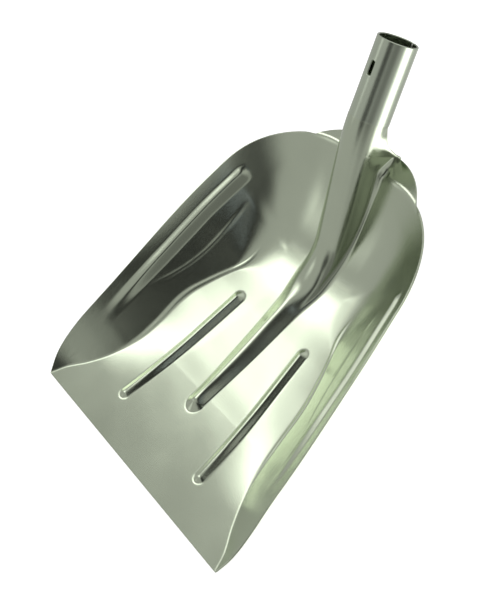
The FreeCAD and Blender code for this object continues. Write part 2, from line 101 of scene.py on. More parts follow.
# beads: half width and height, with the floor beads' ends and the wall beads' distance from the rim
FLOOR_BEAD_ENDS = ((77.4, 47.0), (59.5, 200.0))
FLOOR_BEAD_HALF = 7.8
WALL_BEAD_IN = 18.5
WALL_BEAD_END = 300.0
WALL_BEAD_HALF = 7.4
WALL_BEAD_HEIGHT = 3.2

# the treads, folded level at the top of the back wall, in plan
TREAD_START = 84.0
TREAD_BULGE = (63.0, 390.5)
TREAD_ROOT = (26.6, 401.0)
TREAD_LAST_CREST = 364.6
PINCH_PLACE = (27.0, 381.0)
PINCH_DEPTH = 2.2
PINCH_RADIUS = 4.0

# the frog: its crest from the tip of the rib to the bend, and its half width
RIB_TIP = 80.0
RIB_BACK = (RIB_TIP, 87, 95, 129, 164, 196, 231.5, 258, 285, 300)
RIB_RISE = (2.4, 5.6, 6.9, 8.2, 10.4, 13.6, 17.6, 23.6, 38.5, 52.4)
NECK_START = 292.0
NECK_FRONT = 247.6
NECK_ROUND = 4.0
FROG_BACK = (0, 94, 165, 230, 262, 500)
FROG_HALF = (11.5, 11.5, 15.0, 18.2, TUBE_RADIUS, TUBE_RADIUS)
FILLET_BACK = (0, 90, 230, 262, 332, 345, 355, TREAD_LAST_CREST, 420)
FILLET_OUT = (1.5, 1.5, 3.0, 5.5, 6.5, 8.5, 8.0, 5.6, 5.0)
TIP_END = 94.0
TIP_HALF = 12.5
TIP_HEIGHT = 4.6
BEAD_CREST = 0.16
GABLE_CREST = 0.22

# how finely the blade is divided: along it, across the skin, over the frog and in its fillet
STATIONS = 380
SKIN_COLUMNS = 130
ARCH_COLUMNS = 22
UPPER_COLUMNS = ARCH_COLUMNS + 8
FILLET_COLUMNS = 9


# ---- curves ----

def ramp(low, high, value):
    """0 below low, 1 above high, and smooth between."""
    share = np.clip((value - low) / (high - low), 0.0, 1.0)
    return share * share * (3.0 - 2.0 * share)


def bump(offset, width):
    """1 at no offset, falling smoothly to 0 beyond about twice the width."""
    return np.exp(-((offset / width) ** 2))


def smooth_max(a, b, width):
    """The higher of two heights, blended where they are within a width of each other."""
    gap = np.clip(width - np.abs(a - b), 0.0, None)
    return np.maximum(a, b) + gap * gap / (4.0 * width)


def smooth_min(a, b, width):
    """The lower of two heights, blended where they are within a width of each other."""
    return -smooth_max(-a, -b, width)


def hermite(xs, ys, x):
    """A smooth curve through the points, as monotone as they are and straight beyond the last."""
    xs, ys = np.array(xs, float), np.array(ys, float)
    steps = np.diff(xs)
    secants = np.diff(ys) / steps
    slopes = np.empty(len(xs))
    slopes[0], slopes[-1] = secants[0], secants[-1]
    for i in range(1, len(xs) - 1):
        same_way = secants[i - 1] * secants[i] > 0
        both = steps[i - 1] + steps[i]
        mean = (secants[i - 1] * steps[i] + secants[i] * steps[i - 1]) / both
        slopes[i] = mean if same_way else 0.0
    i = np.clip(np.searchsorted(xs, x) - 1, 0, len(xs) - 2)
    t = (x - xs[i]) / steps[i]
    t = np.where(x > xs[-1], (x - xs[-1]) / steps[-1] + 1.0, t)
    inside = np.clip(t, 0.0, 1.0)
    value = (
        (2 * inside**3 - 3 * inside**2 + 1) * ys[i]
        + (inside**3 - 2 * inside**2 + inside) * steps[i] * slopes[i]
        + (3 * inside**2 - 2 * inside**3) * ys[i + 1]
        + (inside**3 - inside**2) * steps[i] * slopes[i + 1]
    )
    return value + (t - inside) * steps[i] * slopes[-1]


def run_along(points):
    """How far along a polyline each of its points is."""
    return np.r_[0.0, np.cumsum(np.linalg.norm(np.diff(points, axis=0), axis=1))]


def at_runs(points, run, wanted):
    """The points that lie the wanted distances along a polyline."""
    return np.stack([np.interp(wanted, run, points[:, k]) for k in range(2)], axis=-1)


def spaced(points, count):
    """count points evenly along a polyline."""
    run = run_along(points)
    return at_runs(points, run, np.linspace(0.0, 1.0, count) * run[-1])


def circle_through(begin, middle, end):
    """Centre of the circle through three points."""
    towards = np.array([middle - begin, end - begin]) * 2.0
    squares = np.array([middle @ middle - begin @ begin, end @ end - begin @ begin])
    return np.linalg.solve(towards, squares)


def soft_slope(u, crest):
    """From 0 at u = 0 to 1 at u = 1, straight but for a round start as wide as crest."""
    return (np.sqrt(u * u + crest * crest) - crest) / (math.sqrt(1.0 + crest * crest) - crest)


def ridge(offset, half_width, height, crest=BEAD_CREST):
    """A pressed bead's cross-section: flat flanks, a narrow round crest and soft feet."""
    roof = 1.0 - soft_slope(np.abs(offset) / half_width, crest)
    foot = 0.05
    return height * (0.5 * (roof + np.sqrt(roof * roof + foot * foot)) - foot * 0.5)


def from_segment(x, y, start, end):
    """Distance of plan points from a straight line, round its ends."""
    start, end = np.array(start), np.array(end)
    along = end - start
    t = ((x - start[0]) * along[0] + (y - start[1]) * along[1]) / (along @ along)
    t = np.clip(t, 0.0, 1.0)
    return np.hypot(x - start[0] - t * along[0], y - start[1] - t * along[1])


# ---- outline and height of the pressed sheet ----

def rim_plan():
    """The rim in plan from the front corner to the middle of the back: a bowed side, then an arc."""
    across, back = CORNER_CENTRE
    join_half = across + math.sqrt(CORNER_RADIUS**2 - (JOIN_BACK - back) ** 2)
    y = np.linspace(0.0, JOIN_BACK, 400)
    side = np.stack([hermite([*SIDE_BACK, JOIN_BACK], [*SIDE_HALF, join_half], y), y], 1)
    start = math.atan2(JOIN_BACK - back, join_half - across)
    turn = np.linspace(start, math.pi / 2, 300)[1:]
    corner = np.stack([across + CORNER_RADIUS * np.cos(turn), back + CORNER_RADIUS * np.sin(turn)], 1)
    middle = np.array([[0.0, corner[-1, 1]]])
    return np.vstack([side, corner, middle])


RIM = rim_plan()


def nearest_on_rim(points):
    """Distance in from the rim (outside is negative), and how far back the nearest rim point is."""
    starts = RIM[:-1]
    along = RIM[1:] - starts
    length_2 = (along**2).sum(1)
    distance = np.empty(len(points))
    back = np.empty(len(points))
    batch = 4000
    for first in range(0, len(points), batch):
        some = slice(first, first + batch)
        here = points[some, None, :] - starts[None]
        t = np.clip((here * along).sum(2) / length_2, 0.0, 1.0)
        away = here - t[..., None] * along
        d2 = (away**2).sum(2)
        k = d2.argmin(1)
        rows = np.arange(len(k))
        cross = along[k, 0] * here[rows, k, 1] - along[k, 1] * here[rows, k, 0]
        distance[some] = np.sqrt(d2[rows, k]) * np.where(cross < 0, -1.0, 1.0)
        back[some] = starts[k, 1] + t[rows, k] * along[k, 1]
    return distance, back


def floor_height(x, y):
    """The floor: dips from the edge, climbs slowly to the heel, and turns up towards the sides."""
    dip = GAUGE + DIP_DEPTH * ((y - DIP_BACK) / DIP_BACK) ** 2
    lengthwise = np.where(y < DIP_BACK, dip, hermite(FLOOR_BACK, FLOOR_RISE, y))
    level = hermite(LEVEL_BACK, LEVEL_HALF, y)
    steepness = TURN_UP * ramp(45.0, 180.0, y) * (1.0 - 0.5 * ramp(150.0, 280.0, y))
    return lengthwise + steepness * np.clip(x - level, 0.0, None) ** TURN_UP_POWER


def wall_height(distance, back):
    """The wall: steepest at the rim, shallower lower down and towards the front."""
    steep = 0.48 + 0.09 * ramp(10.0, 80.0, back) + 0.29 * ramp(80.0, 230.0, back)
    steep = steep - 0.03 * ramp(250.0, 330.0, back)
    shallow = 0.46 + 0.08 * ramp(10.0, 80.0, back) + 0.06 * ramp(60.0, 240.0, back)
    shallow = shallow + 0.21 * ramp(240.0, 340.0, back)
    inside = np.clip(distance, 0.0, None)
    outside = np.clip(-distance, 0.0, None)
    drop = shallow * inside + (steep - shallow) * WALL_FADE * (1.0 - np.exp(-inside / WALL_FADE))
    return hermite(RIM_BACK, RIM_RISE, back) - drop + outside * SLOPE_BEYOND_RIM


def crease(floor, wall, y):
    """The raised crease where the side walls leave the floor, which fades out by the heel."""
    creased = ramp(60.0, 120.0, y) * (1.0 - ramp(225.0, 262.0, y))
    return 0.85 * creased * bump(wall - floor, 0.8)


def press_line(distance, back):
    """The fine bowed line that the press leaves across the side wall."""
    line = 45.0 - 10.0 * ((back - 232.0) / 66.0) ** 2
    marked = ramp(140.0, 175.0, back) * (1.0 - ramp(268.0, 290.0, back))
    return 0.35 * marked * bump(distance - line, 1.8)


def floor_bead(x, y):
    """The straight bead in the floor, lower at its front end."""
    height = 2.6 + 1.6 * ramp(40.0, 110.0, y)
    return ridge(from_segment(x, y, *FLOOR_BEAD_ENDS), FLOOR_BEAD_HALF, height)


def wall_bead(distance, back):
    """The bead that follows the rim along the side wall and fades out towards the front."""
    beyond = np.clip(back - WALL_BEAD_END, 0.0, None)
    offset = np.hypot(distance - WALL_BEAD_IN, beyond)
    return ridge(offset, WALL_BEAD_HALF, WALL_BEAD_HEIGHT, 0.2) * ramp(78.0, 175.0, back)


def sheet_height(x, y):
    """Height of the sheet's upper side anywhere on the pan and treads, without the frog."""
    distance, back = nearest_on_rim(np.stack([x, y], 1))
    floor = floor_height(x, y)
    wall = wall_height(distance, back)
    # the bend between them is tight at the sides and wide round the heel
    round_off = 0.5 + 20.0 * ramp(212.0, 290.0, y + 0.35 * (90.0 - x))
    height = smooth_max(floor, wall, round_off) + crease(floor, wall, y)
    height = height + press_line(distance, back) + floor_bead(x, y) + wall_bead(distance, back)
    # the treads, folded back to level at the top of the back wall, and the pinch beside the neck
    fold = ramp(350.0, 368.0, y) * (1.0 - ramp(86.0, 96.0, x))
    level = smooth_min(height, np.full_like(height, RIM_TOP), 3.0)
    pinch = PINCH_DEPTH * bump(np.hypot(x - PINCH_PLACE[0], y - PINCH_PLACE[1]), PINCH_RADIUS)
    return height + fold * (level - height) - pinch


# ---- the frog's crest line, its sections and the grid of the whole pressing ----

def crest_line():
    """The frog's top line from the cutting edge to the socket, as y and z."""
    slope = math.tan(TUBE_LIFT)
    top_y = MOUTH[0] - TUBE_RADIUS * math.sin(TUBE_LIFT)
    top_z = MOUTH[1] + TUBE_RADIUS * math.cos(TUBE_LIFT)
    end_y = top_y - SOCKET_LENGTH * math.cos(TUBE_LIFT)
    y = np.linspace(0.0, end_y, 1200)
    flat = floor_height(np.zeros_like(y), y)
    rib = hermite(RIB_BACK, RIB_RISE, y)
    neck = smooth_min(y - NECK_FRONT, top_z - slope * (top_y - y), NECK_ROUND)
    z = np.where(y < RIB_TIP, flat, np.where(y < NECK_START, rib, neck))
    # smoothed a little, with the ends carried straight on
    weights = bump(np.linspace(-2.0, 2.0, 25), 1.0)
    before, after = z[0] + (z[0] - z[12:0:-1]), z[-1] + (z[-1] - z[-2:-14:-1])
    z = np.convolve(np.r_[before, z, after], weights / weights.sum(), "valid")
    return np.stack([y, z], 1)


def station_rows():
    """Even stations along the crest, and the tilt of each one's section."""
    crest = spaced(crest_line(), STATIONS)
    tangent = np.gradient(crest, axis=0)
    tilt = np.arctan2(tangent[:, 1], tangent[:, 0]) * ramp(50.0, 90.0, crest[:, 0])
    return crest, tilt


CREST, TILT = station_rows()
LAST_ON_TREAD = int(np.searchsorted(CREST[:, 0], TREAD_LAST_CREST))
ON_PAN = np.arange(STATIONS) <= LAST_ON_TREAD


def outer_edge():
    """The free edge in plan for every station on the pan: rim, corner, then round the tread."""
    stop = int(np.argmax((RIM[:, 1] > 300.0) & (RIM[:, 0] < TREAD_START)))
    begin, bulge, end = RIM[stop], np.array(TREAD_BULGE), np.array(TREAD_ROOT)
    centre = circle_through(begin, bulge, end)
    radius = np.linalg.norm(begin - centre)
    angles = np.unwrap([math.atan2(*(place - centre)[::-1]) for place in (begin, bulge, end)])
    turn = np.linspace(angles[0], angles[2], 160)[1:]
    tread = centre + radius * np.stack([np.cos(turn), np.sin(turn)], 1)
    edge = np.vstack([RIM[: stop + 1], tread])
    run = run_along(edge)
    # which stretch of the edge goes with which stretch of the crest
    side_run = np.interp([0.0, 158.0, 256.0], edge[: stop // 2, 1], run[: stop // 2])
    bearing = np.arctan2(RIM[:stop, 1] - CORNER_CENTRE[1], RIM[:stop, 0] - CORNER_CENTRE[0])
    corner_run = np.interp(np.radians([40.0, 63.0]), bearing, run[:stop])
    key_crest = [0.0, 150.0, 232.0, 270.0, 312.0, 340.0, CREST[LAST_ON_TREAD, 0]]
    key_run = [*side_run, *corner_run, run[stop], run[-1]]
    return at_runs(edge, run, hermite(key_crest, key_run, CREST[ON_PAN, 0]))


def in_plane(crest, tilt, down):
    """y and z of a point that far below the crest, square to the crest line."""
    return crest[:, 0] + down * np.sin(tilt), crest[:, 1] - down * np.cos(tilt)


def pan_depth(x, crest, tilt):
    """How far below the crest, square to it, the pan's surface lies at x."""
    down = np.full(len(crest), 8.0)
    step, ease = 0.5, 0.9
    for _ in range(14):
        y, z = in_plane(crest, tilt, down)
        here = sheet_height(x, y)
        slope = (sheet_height(x, y + step) - here) / step
        down = down + (z - here) / (np.cos(tilt) + slope * np.sin(tilt)) * ease
    return down


def frog_feet():
    """For every station the half width, the depth there, and the foot's x and depth."""
    y = CREST[:, 0]
    half = hermite(FROG_BACK, FROG_HALF, y)
    foot_x = half + hermite(FILLET_BACK, FILLET_OUT, y)
    depth, foot = np.zeros(STATIONS), np.zeros(STATIONS)
    depth[ON_PAN] = pan_depth(half[ON_PAN], CREST[ON_PAN], TILT[ON_PAN])
    foot[ON_PAN] = pan_depth(foot_x[ON_PAN], CREST[ON_PAN], TILT[ON_PAN])
    # beyond the treads the sheet ends in a free edge that climbs the side of the tube
    last = LAST_ON_TREAD
    free_y = [y[last], 373.0, 385.0, 389.0, 395.0]
    foot[~ON_PAN] = hermite(free_y, [foot[last], 38.6, 33.8, 33.2, 32.6], y[~ON_PAN])
    foot_x[~ON_PAN] = hermite(free_y, [foot_x[last], 23.6, 18.4, 17.4, 17.0], y[~ON_PAN])
    depth[~ON_PAN] = foot[~ON_PAN]
    return half, depth, np.stack([foot_x, foot], 1)


def arch(half, depth, roundness):
    """A half section from the crest: a gable at the rib's tip, round at the neck, with an upright leg."""
    share = np.linspace(0.0, 1.0, ARCH_COLUMNS)
    radius = min(TUBE_RADIUS, max(depth, 0.05))
    angle = share * math.pi / 2
    arc = np.stack([half * np.sin(angle), radius * (1.0 - np.cos(angle))], 1)
    gable = np.stack([half * share, depth * soft_slope(share, GABLE_CREST)], 1)
    section = arc * roundness + gable * (1.0 - roundness)
    if depth > radius + 1e-6:
        leg = np.linspace(radius, depth, 9)[1:, None]
        section = np.vstack([section, np.hstack([np.full_like(leg, half), leg])])
    return section


def into_pan(section, half, depth, foot):
    """A section that ends in a fillet, running out into the pan at the foot."""
    run = run_along(section)
    keep = max(run[-1] - (foot[0] - half) * 1.1, run[-1] * 0.45)
    cut = at_runs(section, run, keep)
    upper = np.vstack([section[run < keep], cut])
    t = np.linspace(0.0, 1.0, FILLET_COLUMNS + 1)[:, None]
    fillet = (1 - t) ** 2 * cut + 2 * t * (1 - t) * np.array([half, depth]) + t**2 * foot
    return np.vstack([spaced(upper, UPPER_COLUMNS), fillet[1:]])


def to_free_edge(section, half, foot):
    """A section that hangs down the side of the tube to its free edge."""
    start = section[ARCH_COLUMNS - 1]
    reach = (foot[1] - start[1]) * 0.5
    first = start + np.array([0.0, reach])
    second = foot - np.array([(foot[0] - half) * 0.3, reach * 0.7])
    t = np.linspace(0.0, 1.0, 24)[:, None]
    leg = (1 - t) ** 3 * start + 3 * t * (1 - t) ** 2 * first
    leg = leg + 3 * t**2 * (1 - t) * second + t**3 * foot
    whole = np.vstack([section[:ARCH_COLUMNS], leg[1:]])
    return spaced(whole, UPPER_COLUMNS + FILLET_COLUMNS)


def frog_sections():
    """The frog's half sections, crest to foot, for every station: x and depth below the crest."""
    half, depth, foot = frog_feet()
    roundness = ramp(222.0, 262.0, CREST[:, 0])
    rows = []
    for i in range(STATIONS):
        section = arch(half[i], depth[i], roundness[i])
        if ON_PAN[i]:
            rows.append(into_pan(section, half[i], depth[i], foot[i]))
        else:
            rows.append(to_free_edge(section, half[i], foot[i]))
    return np.array(rows)


def blade_points():
    """The upper surface's right half as rows of points: over the frog, then out to the edge."""
    section = frog_sections()
    down = section[:, :, 1]
    y = CREST[:, :1] + down * np.sin(TILT)[:, None]
    z = CREST[:, 1:] - down * np.cos(TILT)[:, None]
    frog = np.stack([section[:, :, 0], y, z], 2)
    # in front of the rib its rows lie on the floor, and its tip is a rounded bead end
    tip = CREST[:, 0] < TIP_END
    tip_x, tip_y = frog[tip, :, 0].ravel(), frog[tip, :, 1].ravel()
    nose = ridge(np.hypot(tip_x, np.clip(TIP_END - tip_y, 0.0, None)), TIP_HALF, TIP_HEIGHT)
    frog[tip, :, 2] = (sheet_height(tip_x, tip_y) + nose).reshape(frog[tip].shape[:2])

    foot = frog[ON_PAN, -1, :2]
    share = np.linspace(0.0, 1.0, SKIN_COLUMNS + 1)[1:]
    plan = foot[:, None, :] + (outer_edge() - foot)[:, None, :] * share[None, :, None]
    flat = plan.reshape(-1, 2)
    height = sheet_height(flat[:, 0], flat[:, 1]).reshape(plan.shape[:2])
    return frog, np.concatenate([plan, height[..., None]], 2)


def dents(points):
    """Slight unevenness of pressed, used sheet, in millimetres."""
    x, y = points[:, 0], points[:, 1]
    wave = np.sin(x * 0.031 + 0.7) * np.sin(y * 0.027 + 1.9)
    wave = wave + 0.6 * np.sin(x * 0.055 - y * 0.041 + 0.3)
    wave = wave + 0.35 * np.sin(x * 0.11 + y * 0.07 + 2.0) * np.sin(y * 0.09 - x * 0.03)
    return 0.06 * wave


# ---- meshes ----

def grid_faces(rows):
    """Quads between rows of vertex numbers; where two corners are one vertex, a triangle or nothing."""
    faces = []
    for a, b in zip(rows, rows[1:]):
        for k in range(min(len(a), len(b)) - 1):
            corners = list(dict.fromkeys([a[k], a[k + 1], b[k + 1], b[k]]))
            if len(corners) > 2:
                faces.append(corners)
    return faces


def blade_surface():
    """All points and faces of the upper surface, both halves, which share the crest's points."""
    frog, pan = blade_points()
    points, faces, crest = [], [], []
    for side in (1, -1):
        rows = []
        for i, arc in enumerate(frog):
            outward = np.vstack([arc[1:], pan[i]]) if i < len(pan) else arc[1:]
            if side == 1:
                crest.append(len(points))
                points.append((0.0, arc[0, 1], arc[0, 2]))
            rows.append([crest[i], *range(len(points), len(points) + len(outward))])
            points += [(side * x, y, z) for x, y, z in outward]
        faces += [face[::side] for face in grid_faces(rows)]
    return np.array(points), faces


def vertex_normals(points, faces):
    """Each vertex's direction out of the surface."""
    total = np.zeros_like(points)
    quads = np.array([face if len(face) == 4 else [*face, face[2]] for face in faces])
    a, b, c, d = (points[quads[:, k]] for k in range(4))
    normal = np.cross(c - a, d - b)
    for k in range(4):
        np.add.at(total, quads[:, k], normal)
    return total / np.maximum(np.linalg.norm(total, axis=1), 1e-12)[:, None]


def boundary_edges(faces):
    """The edges that only one face has, in that face's direction."""
    seen = {}
    for face in faces:
        for a, b in zip(face, face[1:] + face[:1]):
            key = (min(a, b), max(a, b))
            seen[key] = None if key in seen else (a, b)
    return [edge for edge in seen.values() if edge]


def thicken(points, faces):
    """Close a surface into sheet, on the side its faces look away from, with rounded edges.

    Also gives the edges where the sheet's two sides end, which stay sharp.
    """
    normals = vertex_normals(points, faces)
    under = points - normals * GAUGE
    count = len(points)
    edges = boundary_edges(faces)
    heading = {}
    for a, b in edges:
        step = points[b] - points[a]
        for v in (a, b):
            heading[v] = heading.get(v, 0.0) + step
    order = sorted(heading)
    out = np.cross(np.array([heading[v] for v in order]), normals[order])
    out = out / np.maximum(np.linalg.norm(out, axis=1), 1e-9)[:, None]
    middle = (points[order] + under[order]) / 2
    half, bulge = GAUGE / 2, GAUGE * 0.38
    all_points = [points, under]
    layers = [{v: v for v in order}]
    for i, angle in enumerate((45, 90, 135)):
        turn = math.radians(angle)
        all_points.append(middle + normals[order] * half * math.cos(turn) + out * bulge * math.sin(turn))
        base = 2 * count + i * len(order)
        layers.append({v: base + k for k, v in enumerate(order)})
    layers.append({v: v + count for v in order})
    all_faces = faces + [[v + count for v in reversed(face)] for face in faces]
    for a, b in edges:
        for upper, lower in zip(layers, layers[1:]):
            all_faces.append([upper[b], upper[a], lower[a], lower[b]])
    sharp = [tuple(sorted((a + side, b + side))) for a, b in edges for side in (0, count)]
    return np.vstack(all_points), all_faces, sharp


def to_object(name, points, faces, sharp_edges=()):
    """A smooth-shaded mesh in metres, in the frame's own place."""
    placed = points * MM
    placed[:, 1] += EDGE_Y
    mesh = bpy.data.meshes.new(name)
    mesh.from_pydata(placed.tolist(), [], [[int(v) for v in face] for face in faces])
    mesh.validate()
    mesh.update()
    mesh.polygons.foreach_set("use_smooth", [True] * len(mesh.polygons))
    sharp = set(sharp_edges)
    for edge in mesh.edges:
        edge.use_edge_sharp = tuple(sorted(edge.vertices)) in sharp
    thing = bpy.data.objects.new(name, mesh)
    bpy.context.scene.collection.objects.link(thing)
    return thing


def pressed_blade():
    """The pressing, with its lowest point just clear of the floor."""
    points, faces = blade_surface()
    points[:, 2] += dents(points)
    points[:, 2] += max(0.0, GAUGE + CLEAR_OF_FLOOR - points[:, 2].min())
    return to_object("pressed_blade", *thicken(points, faces))


# ---- the rolled socket and its weld ----

def on_tube(x, height, distance):
    """From tube terms (across, above its axis, from the mouth) to the scoop's."""
    c, s = math.cos(TUBE_LIFT), math.sin(TUBE_LIFT)
    y = MOUTH[0] - distance * c - height * s
    z = MOUTH[1] - distance * s + height * c
    return np.stack([x, y, z], -1)


def round_slot(a, d):
    """Pull a grid's nearest rows and columns on to the slot's outline; also says what is inside it."""
    across, behind = a * TUBE_RADIUS, d - SLOT_DISTANCE
    straight = SLOT_HALF_LENGTH - SLOT_HALF_WIDTH
    past = np.clip(np.abs(behind) - straight, 0.0, None)
    reach = np.hypot(across, past)
    inside = reach < SLOT_HALF_WIDTH
    near = ~inside & (reach < SLOT_HALF_WIDTH + 1.0)
    scale = np.where(near, SLOT_HALF_WIDTH / np.maximum(reach, 1e-6), 1.0)
    pulled = np.sign(behind) * (np.minimum(np.abs(behind), straight) + past * scale)
    a = np.where(near, across * scale / TUBE_RADIUS, a)
    d = np.where(near, SLOT_DISTANCE + pulled, d)
    return a, d, inside


def rolled_socket():
    """A tube of sheet, with a slot near the mouth and a narrow gap underneath for the weld."""
    around, along = 144, 84
    gap = SEAM_HALF_WIDTH / TUBE_RADIUS
    angle = np.linspace(gap - math.pi, math.pi - gap, around + 1)
    distance = np.linspace(0.0, SOCKET_LENGTH, along + 1)
    a, d, inside = round_slot(*np.meshgrid(angle, distance))
    # slightly out of round, but true where it meets the blade
    radius = TUBE_RADIUS + 0.12 * np.sin(2 * a + 0.6) * ramp(0.0, 30.0, SOCKET_LENGTH - d)
    points = on_tube(radius * np.sin(a), radius * np.cos(a), d).reshape(-1, 3)
    numbers = np.arange(len(points)).reshape(along + 1, around + 1)
    faces = []
    for i in range(along):
        for k in range(around):
            corners = [(i + 1, k), (i + 1, k + 1), (i, k + 1), (i, k)]
            if not any(inside[corner] for corner in corners):
                faces.append([int(numbers[corner]) for corner in corners])
    used = sorted({v for face in faces for v in face})
    renumbered = {v: i for i, v in enumerate(used)}
    faces = [[renumbered[v] for v in face] for face in faces]
    return to_object("rolled_socket", *thicken(points[used], faces))


def seam_weld():
    """A weld bead along the tube's underside, rippled outside, nearly flush inside."""
    along, round_steps = 260, 20
    distance = np.linspace(0.3, SOCKET_LENGTH - 0.3, along)
    turn = np.linspace(0.0, 2 * math.pi, round_steps, endpoint=False)
    d, t = np.meshgrid(distance, turn, indexing="ij")
    outward = -np.cos(t)
    ripple = 0.12 * np.sin(d * 2 * math.pi / 1.9) + 0.06 * np.sin(d * 0.83 + 1.0)
    past = np.clip(np.abs(d - SOCKET_LENGTH / 2) - 38.3, 0.0, None)
    ends = np.sqrt(np.clip(1.0 - past**2 / 2.2, 0.15, 1.0))
    across = (1.9 + 0.15 * np.sin(d * 0.31)) * np.sin(t) * ends
    depth = np.where(outward > 0, 1.45 + ripple, 1.0) * outward * ends
    height = -(TUBE_RADIUS - 0.9) - depth - 0.1 * np.clip(outward, 0.0, None)
    points = on_tube(across, height, d).reshape(-1, 3)
    numbers = np.arange(len(points)).reshape(along, round_steps).tolist()
    faces = grid_faces([[*ring, ring[0]] for ring in numbers])
    faces += [numbers[0][::-1], numbers[-1]]
    return to_object("seam_weld_bead", points, faces)


# ---- materials ----

def node(tree, kind, **values):
    """A shader node with its inputs or properties set."""
    made = tree.nodes.new(kind)
    for key, value in values.items():
        if key in made.inputs:
            made.inputs[key].default_value = value
        else:
            setattr(made, key, value)
    return made


def noise(tree, vector, scale, detail, roughness):
    """The strength of a noise texture over the given coordinates."""
    made = node(tree, "ShaderNodeTexNoise", Scale=scale, Detail=detail, Roughness=roughness)
    tree.links.new(vector, made.inputs["Vector"])
    return made.outputs["Fac"]


def bumped(tree, height, strength, normal=None):
    """The surface's direction once it is bumped by a height."""
    made = node(tree, "ShaderNodeBump", Strength=strength, Distance=0.0004)
    tree.links.new(height, made.inputs["Height"])
    if normal:
        tree.links.new(normal, made.inputs["Normal"])
    return made.outputs["Normal"]


def bare_metal(name, tint, rough, grain_scale, scratch, dull=0.0):
    """Bright worn sheet metal: fine grain, hazy patches, and scratches along the scoop."""
    material = bpy.data.materials.new(name)
    material.use_nodes = True
    tree = material.node_tree
    tree.nodes.clear()
    link = tree.links.new
    out = node(tree, "ShaderNodeOutputMaterial")
    shader = node(tree, "ShaderNodeBsdfPrincipled", Metallic=1.0)
    link(shader.outputs["BSDF"], out.inputs["Surface"])

    where = node(tree, "ShaderNodeTexCoord").outputs["Object"]
    squash = node(tree, "ShaderNodeMapping", Scale=(1.0, 0.045, 1.0), Rotation=(0.0, 0.0, 0.22))
    link(where, squash.inputs["Vector"])
    haze = noise(tree, where, 9.0, 4.0, 0.55)
    grain = noise(tree, where, grain_scale, 3.0, 0.7)
    streaks = noise(tree, squash.outputs["Vector"], 520.0, 2.0, 0.6)

    colour = node(tree, "ShaderNodeValToRGB")
    for stop, position, shade in zip(colour.color_ramp.elements, (0.3, 0.72), (0.90, 1.0)):
        stop.position = position
        stop.color = (*[part * (shade - dull) for part in tint], 1.0)
    link(haze, colour.inputs["Fac"])
    link(colour.outputs["Color"], shader.inputs["Base Color"])

    spread = node(tree, "ShaderNodeMapRange")
    spread.inputs["From Min"].default_value = 0.3
    spread.inputs["From Max"].default_value = 0.7
    spread.inputs["To Min"].default_value = rough * 0.8
    spread.inputs["To Max"].default_value = rough * 1.25
    link(haze, spread.inputs["Value"])
    scratched = node(tree, "ShaderNodeMath", operation="MULTIPLY_ADD")
    scratched.inputs[1].default_value = scratch
    link(streaks, scratched.inputs[0])
    link(spread.outputs["Result"], scratched.inputs[2])
    link(scratched.outputs["Value"], shader.inputs["Roughness"])

    link(bumped(tree, streaks, 0.025, bumped(tree, grain, 0.13)), shader.inputs["Normal"])
    return material


# ---- stage ----

def plain_mesh(name, points, faces):
    """A flat-faced mesh of the studio, in metres."""
    mesh = bpy.data.meshes.new(name)
    mesh.from_pydata(points, [], faces)
    thing = bpy.data.objects.new(name, mesh)
    bpy.context.scene.collection.objects.link(thing)
    return thing


def glowing_white(name):
    """The pale paint of the studio's floor and walls, lit evenly."""
    material = bpy.data.materials.new(name)
    material.use_nodes = True
    shader = material.node_tree.nodes["Principled BSDF"]
    shader.inputs["Base Color"].default_value = (0.9, 0.9, 0.9, 1.0)
    shader.inputs["Roughness"].default_value = 0.9
    shader.inputs["Emission Color"].default_value = (1.0, 1.0, 1.0, 1.0)
    shader.inputs["Emission Strength"].default_value = 0.75
    return material


def backdrop(name, points, faces):
    """A plain pale sheet of the studio that doesn't show in the metal."""
    sheet = plain_mesh(name, points, faces)
    sheet.data.materials.append(glowing_white(name))
    sheet.visible_glossy = False
    return sheet


def soft_patch(tree, direction, centre, reach, core):
    """1 inside a patch of sky round a direction, out to core of its reach, and 0 beyond its reach."""
    away = node(tree, "ShaderNodeVectorMath", operation="SUBTRACT")
    away.inputs[1].default_value = centre
    tree.links.new(direction, away.inputs[0])
    scaled = node(tree, "ShaderNodeVectorMath", operation="DIVIDE")
    scaled.inputs[1].default_value = reach
    tree.links.new(away.outputs["Vector"], scaled.inputs[0])
    length = node(tree, "ShaderNodeVectorMath", operation="LENGTH")
    tree.links.new(scaled.outputs["Vector"], length.inputs[0])
    mask = node(tree, "ShaderNodeMapRange", interpolation_type="SMOOTHSTEP")
    mask.inputs["From Min"].default_value = 1.0
    mask.inputs["From Max"].default_value = core
    tree.links.new(length.outputs["Value"], mask.inputs["Value"])
    return mask.outputs["Result"]


